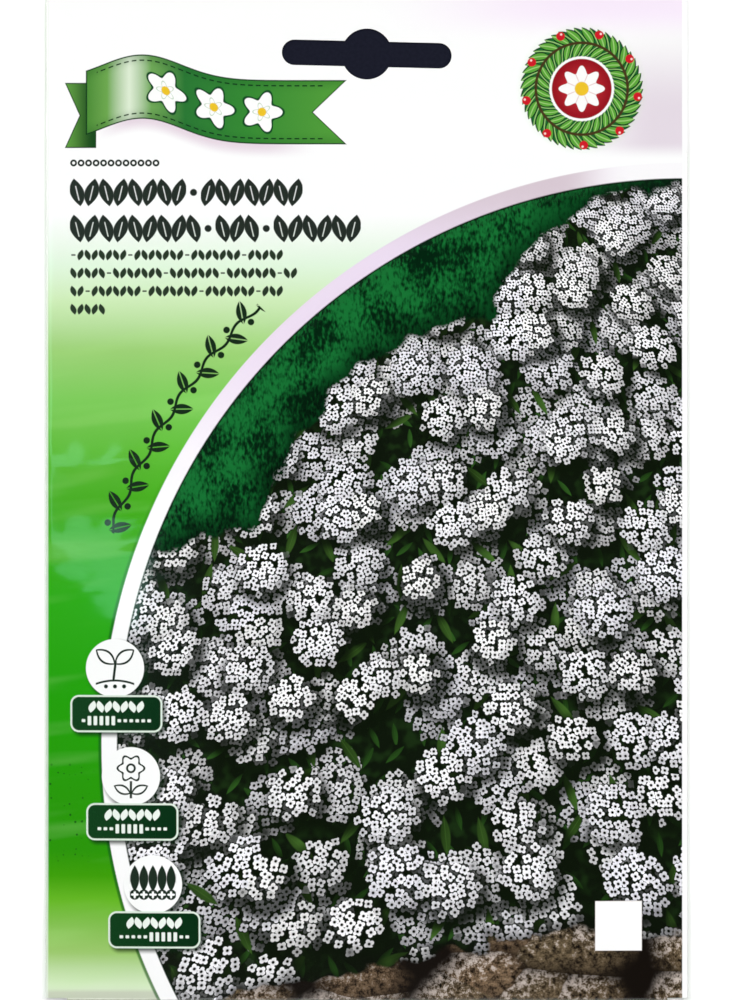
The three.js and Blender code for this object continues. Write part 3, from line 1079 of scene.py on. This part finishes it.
def seed_rows(finish, colour, x, y):
    pitch = 3.38
    period = 1.33
    up = repeat(y - 45.8, pitch)
    row = cell_number(45.8 - y, pitch)
    along = x - ROW_LEFT - period / 2
    number = cell_number(along, period)
    across = repeat(along, period) - alternate(along, period) * up * 0.3
    seed = leaf(up, across, 1.02, 0.56)
    count = 29.5 + 2 * between(row, 0.5, 1.5) - 25 * between(row, 2.5, 3.5)
    dash = rounded_box(repeat(along, period), up, (0, 0), (0.4, 0.14), 0.1)
    is_dash = filled((number + row * 3).math("MODULO", 8) - 0.5, 0.01)
    mask = filled(seed, 0.11) * (1 - is_dash) | filled(dash) * is_dash
    mask = mask * filled(number - count, 0.01) * filled(-0.5 - number, 0.01)
    return finish.mix(mask * between(row, -0.5, 3.5), colour, ink(40, 54, 38))


def dot_row(finish, colour, x, y):
    along = x - ROW_LEFT - 0.7
    bead = abs(disc(repeat(along, 1.4), y - 63.0, (0, 0), 0.46)) - 0.19
    return finish.mix(filled(bead) * between(cell_number(along, 1.4), -0.5, 11.5, 0.01), colour, DARK_INK)


# %% [markdown]
# ## Vine along the arc
# A winding stem with a leaf on each side in turn follows the picture's arc. Its coordinates are the
# distance along the arc and the distance off it.

# %% Draw the vine
VINE_RADIUS = 114.0
LEAF_PITCH = 4.2


def vine(finish, colour, x, y):
    dx, dy = ARC_CENTRE.x / mm - x, y - ARC_CENTRE.y / mm
    along = dy.math("ARCTAN2", dx) * VINE_RADIUS
    off = distance(dx, dy) - VINE_RADIUS - 0.3
    shown = between(along, 40.5, 91.5)
    wave = (along * (math.tau / 2 / LEAF_PITCH)).math("SINE")
    stem = abs(off - 0.55 * wave) - 0.27
    side = alternate(along, LEAF_PITCH)
    leaf_up = off * side - 1.35
    leaf_along = leaf_up * 0.82 + repeat(along, LEAF_PITCH) * 0.57
    leaf_across = repeat(along, LEAF_PITCH) * 0.82 - leaf_up * 0.57
    blade = leaf(leaf_along, leaf_across, 2.25, 0.98)
    rib = filled(abs(leaf_across) - 0.1) * 0.8
    tendril = disc(repeat(along, LEAF_PITCH), off * side + 1.15, (0, 0), 0.62)
    mask = filled(stem) | filled(blade) * (1 - rib) | filled(tendril)
    return finish.mix(mask * shown, colour, LEAF_INK)


# %% [markdown]
# ## Planting badges
# Three round badges run down the arc, each with a dark strip below. The strips hold a small garland and a
# calendar of twelve marks, with longer marks for the months in season. All three are drawn once, in
# coordinates of the nearest badge.

# %% Draw the badges
BADGE_PITCH = 20.17


def calendar(x, y, badge):
    month = (x / 1.12).math("FLOOR") + 6.0
    in_season = filled(abs(month - 3.0 - 2.0 * badge) - 2.5, 0.01)
    mark = rounded_box(repeat(x - 0.56, 1.12), y, (0, 0), (0.33, 0.28), 0.15)
    tall = rounded_box(repeat(x - 0.56, 1.12), y, (0, 0), (0.33, 0.85), 0.15)
    return (filled(mark) | filled(tall) * in_season) * between(x, -6.7, 6.7)


def seedling(x, y):
    stem = abs(x - 0.12 * y) - 0.24 | abs(y + 0.7) - 1.8
    along = (abs(x) - 1.75) * 0.8 + (y - 1.9) * 0.6
    across = (y - 1.9) * 0.8 - (abs(x) - 1.75) * 0.6
    blade = leaf(along, across, 2.15, 1.05)
    soil = abs(y + 2.5 + 0.05 * x * x) - 0.2 | abs(x) - 3.6
    seeds = disc(repeat(x, 1.7), y, (0, -3.6), 0.38) | abs(x) - 2.4
    return filled(stem & soil & (abs(blade) - 0.2) & seeds)


def open_flower(x, y):
    outline = abs(blossom(x, y - 1.3, 6, 2.15, 0.36)) - 0.2
    eye = abs(disc(x, y, (0, 1.3), 0.72)) - 0.2
    stem = abs(x) - 0.22 | abs(y + 2.7) - 1.6
    along = (abs(x) - 1.6) * 0.9 + (y + 2.7) * 0.42
    across = (y + 2.7) * 0.9 - (abs(x) - 1.6) * 0.42
    blade = abs(leaf(along, across, 1.6, 0.72)) - 0.18
    return filled(outline & eye & stem & blade)


def border_shrubs(x, y):
    tree = leaf(y - 0.9, repeat(x, 1.7), 2.5, 0.86) | abs(x) - 4.3
    crown = disc(repeat(x, 1.7), y, (0, -2.1), 0.98) | abs(x) - 4.3
    petal = blossom(repeat(x, 1.7), y + 2.1, 4, 0.5, 0.2)
    return filled(tree) | filled(crown) * (1 - filled(petal))


def badges(finish, colour, x, y):
    badge = ((-34.55 - y) / BADGE_PITCH).math("ROUND") | 0.0
    badge = badge & 2.0
    x = x + 47.0 - 2.43 * badge - 0.56 * badge * badge
    y = y + BADGE_PITCH * badge
    strip = rounded_box(x, y, (0.25, -39.9), (8.5, 3.35), 1.5)
    shade = finish.soft(rounded_box(x, y, (0.8, -40.4), (8.5, 3.35), 1.5), 0.9, -0.3)
    round_shade = finish.soft(disc(x, y, (0.6, -32.0), 5.45), 0.9, -0.3)
    colour = finish.mix((shade | round_shade) * 0.85, colour, ink(8, 34, 12))
    colour = finish.mix(filled(disc(x, y, (0, -31.4), 5.45)), colour, ink(254, 255, 254))
    drawn_y = y + 31.2
    drawing = seedling(x, drawn_y) * between(badge, -0.5, 0.5, 0.01)
    drawing = drawing | open_flower(x, drawn_y) * between(badge, 0.5, 1.5, 0.01)
    drawing = drawing | border_shrubs(x, drawn_y) * between(badge, 1.5, 2.5, 0.01)
    colour = finish.mix(drawing * filled(disc(x, y, (0, -31.4), 4.95)), colour, ink(30, 46, 34))
    colour = finish.mix(filled(strip - 0.12), colour, ink(226, 240, 226))
    dark = finish.mix(finish.soft(x, -9.0, 9.0), ink(14, 62, 26), ink(4, 46, 18))
    colour = finish.mix(filled(strip + 0.22), colour, dark)
    up = y + 38.6
    row_x = x - 0.25
    row_leaf = leaf(up, repeat(row_x, 1.5) - alternate(row_x, 1.5) * up * 0.3, 1.1, 0.66)
    row_leaf = filled(row_leaf) * between(cell_number(row_x, 1.5), -3.5, 3.5, 0.01)
    words = row_leaf | calendar(row_x, y + 41.2, badge)
    return finish.mix(words * filled(strip + 0.5), colour, ink(240, 248, 240))


# %% [markdown]
# ## The back
# The back is plain and practical: a pale panel with a green frame, a strip of twelve month boxes with
# some filled in, and ruled lines for notes.

# %% Draw the back
def back_panel(finish, x, y):
    border = rounded_box(x, y, (0, -6.0), (52.0, 72.0), 4.0)
    colour = finish.mix(filled(border + 1.0), ink(116, 190, 84), ink(240, 248, 232))
    colour = finish.mix(filled(abs(border + 1.6) - 0.2), colour, ink(60, 140, 50))
    rule = filled(abs(repeat(y, 7.0)) - 0.12) * between(y, -66.0, 10.0) * between(x, -44.0, 44.0)
    colour = finish.mix(rule * 0.8, colour, ink(120, 160, 120))
    month_x = repeat(x, 7.2)
    box = abs(rounded_box(month_x, y, (0, 30.0), (3.2, 3.2), 0.5)) - 0.15
    fill = rounded_box(month_x, y, (0, 30.0), (2.6, 2.6), 0.4)
    colour = finish.mix(filled(box) * between(x, -43.2, 43.2), colour, ink(40, 110, 40))
    colour = finish.mix(filled(fill) * between(x, -28.8, 7.2), colour, ink(96, 176, 70))
    sprig = leaf(y - 50.0, repeat(x, 8.0) - alternate(x, 8.0) * (y - 50.0) * 0.3, 6.0, 2.2)
    return finish.mix(filled(sprig) * between(x, -36.0, 36.0), colour, ink(70, 150, 60))


# %% Painted shade, specks and crinkles
def header_painted_shade(finish, colour, x, y):
    """Painted shade: a faint pink-lilac shade along the top edge and a greyer one down the right side."""
    top_painted_shade = finish.soft(x, -4.0, 40.0) * finish.soft(y, 85.0, 92.0)
    colour = finish.mix(top_painted_shade, colour, ink(249, 235, 251))
    side_painted_shade = finish.soft(x, 36.0, 54.0) * finish.soft(y, 63.5, 67.0) * finish.soft(y, 91.0, 72.0)
    return finish.mix(side_painted_shade, colour, ink(228, 217, 227))


def specks(finish, colour, place, x, y):
    """Small dark specks of dust near the lower left edge."""
    far, tint, _ = finish.cells(finish.vector("MULTIPLY", place, (0.85, 0.85, 0)))
    chance, size, _ = finish.split(tint)
    dusty = finish.soft(x, -50.0, -54.0) * finish.soft(y, -47.0, -52.0) * finish.soft(y, -70.0, -65.0)
    speck = finish.soft(far - 0.2 * size, 0.04, -0.04) * chance.math("GREATER_THAN", 0.66)
    return finish.mix(speck * dusty * 0.8, colour, ink(14, 70, 14))


def crinkles(finish, place, y):
    """Fine crinkles over the sachet's shoulder and above its seal. Over the seal the paper is smooth."""
    fine = finish.noise(finish.vector("MULTIPLY", place, (0.45, 1.0, 0)), 1.3, detail=1.0)
    zone = finish.soft(y, -24.0, -12.0) * finish.soft(y, 11.0, 8.0)
    return fine * zone * finish.soft(abs(y - 2.2), 3.6, 5.2) * 8.0


# %% Print every zone of the sheet
def print_header(name):
    finish = Finish(name)
    place, x, y = place_in_mm(finish)
    colour = ribbon(finish, header_painted_shade(finish, ground(finish, x, y), x, y), x, y)
    colour = wreath(finish, colour, x, y)
    return gloss_paper(finish, margin(finish, colour, x), place)


def print_margin(name):
    finish = Finish(name)
    place, x, y = place_in_mm(finish)
    colour = ground(finish, x, y)
    colour = dot_row(finish, colour, x, y)
    colour = garland(finish, colour, x, y, 57.5, 16, (8,))
    colour = garland(finish, colour, x, y, 50.75, 20, (9, 13))
    colour = seed_rows(finish, colour, x, y)
    colour = vine(finish, colour, x, y)
    colour = arc_band(finish, colour, flower_bank(finish, place, x, y, True, False), place, x, y)
    colour = badges(finish, specks(finish, colour, place, x, y), x, y)
    varnish = 1 - 0.8 * finish.soft(x, -44.0, -38.0) * finish.soft(y, 40.0, 20.0)
    return gloss_paper(finish, margin(finish, colour, x), place, varnish, crinkle=crinkles(finish, place, y))


def print_picture(name, lawn_shows, stones_show):
    finish = Finish(name)
    place, x, y = place_in_mm(finish)
    picture = flower_bank(finish, place, x, y, lawn_shows, stones_show)
    if lawn_shows or stones_show:
        picture = arc_band(finish, ground(finish, x, y), picture, place, x, y)
    return gloss_paper(finish, margin(finish, picture, x), place, 0.12, 0.1)


def print_back(name):
    finish = Finish(name)
    place, x, y = place_in_mm(finish)
    return gloss_paper(finish, back_panel(finish, x, y), place)


print_header("header print")
print_margin("margin print")
print_picture("picture print", False, False)
print_picture("lawn print", True, False)
print_picture("foot print", False, True)
print_back("back print")
print_back("printed outside")

# %% [markdown]
# ## Bare paper, label, glue, foil and seeds
# Inside, the sheet is uncoated: off-white, dull and fibrous. A cut edge shows the same fibres end on. The
# glue has dried to a clear, slightly yellow film. The sachet is a metallised film with a fine woven
# emboss all over it. The seeds are small, ribbed and tan.

# %% Bare paper
def bare_paper(name, colour, size):
    finish = Finish(name)
    fibres = finish.noise(in_mm(finish), size, detail=4.0, roughness=0.65, dimensions="3D")
    shade = finish.mix(fibres, tuple(0.88 * channel for channel in colour[:3]) + (1,), colour)
    return finish.surface(shade, 0.78 + 0.15 * fibres, height=fibres, bump=0.35, bump_distance=0.00004)


bare_paper("plain inside", (0.80, 0.79, 0.75, 1), 0.5)
bare_paper("cut edge", (0.84, 0.84, 0.82, 1), 0.12)

# %% [markdown]
# ## The label
# The small blank label is a sticker laid over the print. It follows the swell of the front, and one
# corner has lifted a hair, as stuck paper does. A grid is pressed to the front's own shape, given its
# thickness, and its edges are bevelled a little.

# %% Model the label
label_low, label_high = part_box("blank_label")
label_gap = 0.03 * mm
label_thickness = 0.1 * mm
bpy.ops.object.select_all(action="DESELECT")
label_middle = (label_low + label_high) / 2
label_place = (label_middle.x, label_middle.y, 0)
bpy.ops.mesh.primitive_grid_add(x_subdivisions=22, y_subdivisions=24, size=1, location=label_place)
label = bpy.context.object
label.name = "label_sticker"
label.scale = (label_high.x - label_low.x, label_high.y - label_low.y, 1)
apply_transform(label)
lifted_corner = Vector((label_high.x, label_low.y))
for vertex in label.data.vertices:
    x, y, _ = vertex.co
    from_corner = (Vector((x, y)) - lifted_corner).length
    lift = 0.08 * mm * (1 - smooth(0, 3 * mm, from_corner))
    vertex.co.z = smooth_front(x, y) + crease(x, y) + label_gap + lift
edit(label)
bpy.ops.mesh.select_all(action="SELECT")
bpy.ops.mesh.normals_make_consistent(inside=False)
leave()
if label.data.polygons[0].normal.z < 0:
    label.data.flip_normals()
apply_modifier(label, "SOLIDIFY", thickness=label_thickness, offset=1)
edit(label)
bpy.ops.mesh.select_all(action="DESELECT")
leave()


def corners_where(test):
    """The corners of the label's faces whose upward lean passes the test."""
    chosen = [polygon for polygon in label.data.polygons if test(polygon.normal.z)]
    return {index for polygon in chosen for index in polygon.vertices}


top_rim = corners_where(lambda lean: abs(lean) < 0.5) & corners_where(lambda lean: lean > 0.5)
for line in label.data.edges:
    line.select = set(line.vertices) <= top_rim
bpy.ops.object.mode_set(mode="EDIT")
bpy.ops.mesh.select_mode(type="EDGE")
bpy.ops.mesh.bevel(offset=0.03 * mm, segments=2, affect="EDGES")
leave()
pick(label)
bpy.ops.object.shade_smooth_by_angle(angle=math.radians(40))
print("label:", len(label.data.polygons), "faces, mm", extent(label))


def label_paper():
    finish = Finish("label paper")
    place = in_mm(finish)
    x, y, _ = finish.split(place)
    fibres = finish.noise(place, 0.3, detail=3.0, dimensions="3D")
    white = finish.mix(fibres, (0.86, 0.86, 0.85, 1), (0.90, 0.90, 0.90, 1))
    edge = rounded_box(x, y, tuple(value / mm for value in label_middle[:2]), (4.36, 4.63), 0.1)
    # The dark reddish rim along the label's edges is painted shadow of the sticker's edge.
    white = finish.mix(finish.soft(edge, -0.12, 0.0) * 0.6, white, (0.42, 0.33, 0.31, 1))
    return finish.surface(white, 0.62 + 0.1 * fibres, height=fibres, bump=0.2, bump_distance=0.00003)


label.data.materials.append(label_paper())

# %% Finishes of the pieces that keep their shape
def glue_finish():
    finish = Finish("dried glue")
    place = in_mm(finish)
    streaks = finish.noise(finish.vector("MULTIPLY", place, (1, 0.15, 1)), 1.2, detail=3.0, dimensions="3D")
    tone = finish.mix(streaks, (0.62, 0.56, 0.38, 1), (0.74, 0.70, 0.56, 1))
    return finish.surface(tone, 0.3 + 0.2 * streaks, height=streaks, bump=0.3)


def foil_finish():
    finish = Finish("sachet foil")
    place = in_mm(finish)
    x, y, _ = finish.split(place)
    weave = ((x + y) * (math.tau / 1.1)).math("SINE") * ((x - y) * (math.tau / 1.1)).math("SINE")
    creases = finish.noise(place, 4.0, detail=3.0, dimensions="3D")
    tone = finish.mix(creases, (0.66, 0.67, 0.68, 1), (0.80, 0.80, 0.80, 1))
    height = creases * 2 + 0.3 * weave
    return finish.surface(tone, 0.2 + 0.15 * creases, height=height, bump=0.4, Metallic=0.9)


def seed_finish():
    finish = Finish("seed coat")
    place = in_mm(finish)
    ribs = finish.noise(finish.vector("MULTIPLY", place, (3, 1, 3)), 0.5, detail=3.0, dimensions="3D")
    blotches = finish.noise(place, 1.6, detail=1.0, dimensions="3D")
    tone = finish.mix(ribs, (0.26, 0.12, 0.04, 1), (0.52, 0.30, 0.12, 1))
    tone = finish.mix(finish.soft(blotches, 0.5, 0.7) * 0.6, tone, (0.62, 0.42, 0.20, 1))
    return finish.surface(tone, 0.5 + 0.2 * ribs, height=ribs, bump=0.5)


packed_finishes = {"glue": glue_finish(), "sachet": foil_finish(), "seed": seed_finish()}
for node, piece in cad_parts.items():
    for word, material in packed_finishes.items():
        if word in node:
            piece.data.materials.clear()
            piece.data.materials.append(material)
print(sorted(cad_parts)[:8])

# %% [markdown]
# ## The stage
# The floor is one pale sheet that curves up into a wall all round, as in a photo studio. The packet's
# gloss would show anything straight above it, so the wall ends low and nothing bright hangs overhead.

# %% Floor and wall
floor_radius = 2.6
bpy.ops.object.select_all(action="DESELECT")
bpy.ops.mesh.primitive_circle_add(vertices=96, radius=floor_radius, fill_type="NGON", location=(0, 0, 0))
stage = bpy.context.object
stage.name = "studio_floor"
edit(stage)
bpy.ops.mesh.select_mode(type="EDGE")
bpy.ops.mesh.select_all(action="SELECT")
bpy.ops.mesh.region_to_loop()
COVE_STEPS = 8
cove_radius = 0.9
for index in range(COVE_STEPS):
    turns = [math.pi / 2 * share / COVE_STEPS for share in (index, index + 1)]
    out = cove_radius * (math.sin(turns[1]) - math.sin(turns[0]))
    up = cove_radius * (math.cos(turns[0]) - math.cos(turns[1]))
    start_radius = floor_radius + cove_radius * math.sin(turns[0])
    grow = (start_radius + out) / start_radius
    bpy.ops.mesh.extrude_region_move(TRANSFORM_OT_translate={"value": (0, 0, up)})
    bpy.ops.transform.resize(value=(grow, grow, 1), center_override=(0, 0, 0))
leave()
pick(stage)
bpy.ops.object.shade_smooth()
floor_paper = Finish("pale floor")
floor_place = floor_paper.node("ShaderNodeTexCoord", output=3)
floor_grain = floor_paper.noise(floor_place, 0.4, detail=3.0)
floor_colour = floor_paper.mix(floor_grain, (0.90, 0.90, 0.895, 1), (0.93, 0.93, 0.93, 1))
stage.data.materials.append(floor_paper.surface(floor_colour, 0.9))
stage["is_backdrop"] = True
print("floor", round(2 * (floor_radius + cove_radius), 2), "m across")

# %% [markdown]
# ## Dark card behind the slot
# In the photograph the slot shows something dark behind the packet. A dark card on the floor does the
# same: it is wholly covered by the header and seen only through the slot.

# %% Card under the slot
bpy.ops.object.select_all(action="DESELECT")
bpy.ops.mesh.primitive_plane_add(size=1, location=(0, slot_y, 0.03 * mm))
card = bpy.context.object
card.name = "studio_dark_card"
card.scale = (36 * mm, 14 * mm, 1)
apply_transform(card)
felt = Finish("dark card")
felt_place = felt.node("ShaderNodeTexCoord", output=3)
felt_grain = felt.noise(felt_place, 0.0006)
felt_colour = felt.mix(felt_grain, (0.004, 0.005, 0.012, 1), (0.009, 0.010, 0.02, 1))
card.data.materials.append(felt.surface(felt_colour, 0.95, **{"Specular IOR Level": 0.1}))
card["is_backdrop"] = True

# %% [markdown]
# ## Light
# Four large softboxes stand round the packet at half height, so the light is even and the shadows soft.
# A small, weak one beside the camera, a rectangle with a green tint, shows only as gloss on paper that
# leans a little to the upper left.

# %% Softboxes
def softbox(name, place, size, power, target=(0, 0, 0)):
    bpy.ops.object.select_all(action="DESELECT")
    bpy.ops.object.light_add(type="AREA", location=place)
    lamp = bpy.context.object
    lamp.name = name
    lamp.data.shape = "DISK"
    lamp.data.size = size
    lamp.data.energy = power
    lamp.rotation_euler = (Vector(target) - Vector(place)).to_track_quat("-Z", "Y").to_euler()
    return lamp


ring_radius = 1.5
ring_height = 1.35
softbox_size = 1.1
for name, turn, power in (("left", 160, 20.4), ("right", 20, 18.6), ("far", 90, 20.4), ("near", 270, 16.8)):
    angle = math.radians(turn)
    place = (ring_radius * math.cos(angle), ring_radius * math.sin(angle), ring_height)
    softbox(f"softbox_{name}", place, softbox_size, power)
sheen_light = softbox("sheen_light", (-0.2575, 0.09, 1.25), 0.205, 0.17)
sheen_light.data.shape = "RECTANGLE"
sheen_light.data.size_y = 0.12
sheen_light.data.color = (0.45, 1.0, 0.8)

world = bpy.data.worlds.new("studio air")
bpy.context.scene.world = world
world.use_nodes = True
world.node_tree.nodes["Background"].inputs["Color"].default_value = (0.9, 0.95, 1.0, 1)
world.node_tree.nodes["Background"].inputs["Strength"].default_value = 0.02

# %% [markdown]
# ## Camera
# The photograph looks straight at the front with no visible tilt, so the camera looks straight down. A
# long lens from 1 m away keeps the raised middle from growing, as in the photograph.

# %% Camera straight above
bpy.ops.object.select_all(action="DESELECT")
camera_height = 1.0
sensor_width = 36
front_height = 1.5 * mm
seen_length = 186.78 * mm
bpy.ops.object.camera_add(location=(-0.14 * mm, 0, camera_height), rotation=(0, 0, 0))
camera = bpy.context.object
camera.name = "camera_above"
camera.data.sensor_width = sensor_width
camera.data.lens = sensor_width * (camera_height - front_height) / seen_length
bpy.context.scene.camera = camera
bpy.context.scene.view_settings.view_transform = "Standard"
bpy.context.scene.view_settings.look = "None"
print(f"lens {camera.data.lens:.0f} mm")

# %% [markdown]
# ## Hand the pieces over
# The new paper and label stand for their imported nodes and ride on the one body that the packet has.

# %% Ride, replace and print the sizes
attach(sheet, "root")
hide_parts("packet_sheet")
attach(label, "root")
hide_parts("blank_label")
visual_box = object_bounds()
for name, box in (("packed", cad_box), ("visual", visual_box)):
    print(name, "box, mm:", [[round(value / mm, 2) for value in corner] for corner in box])
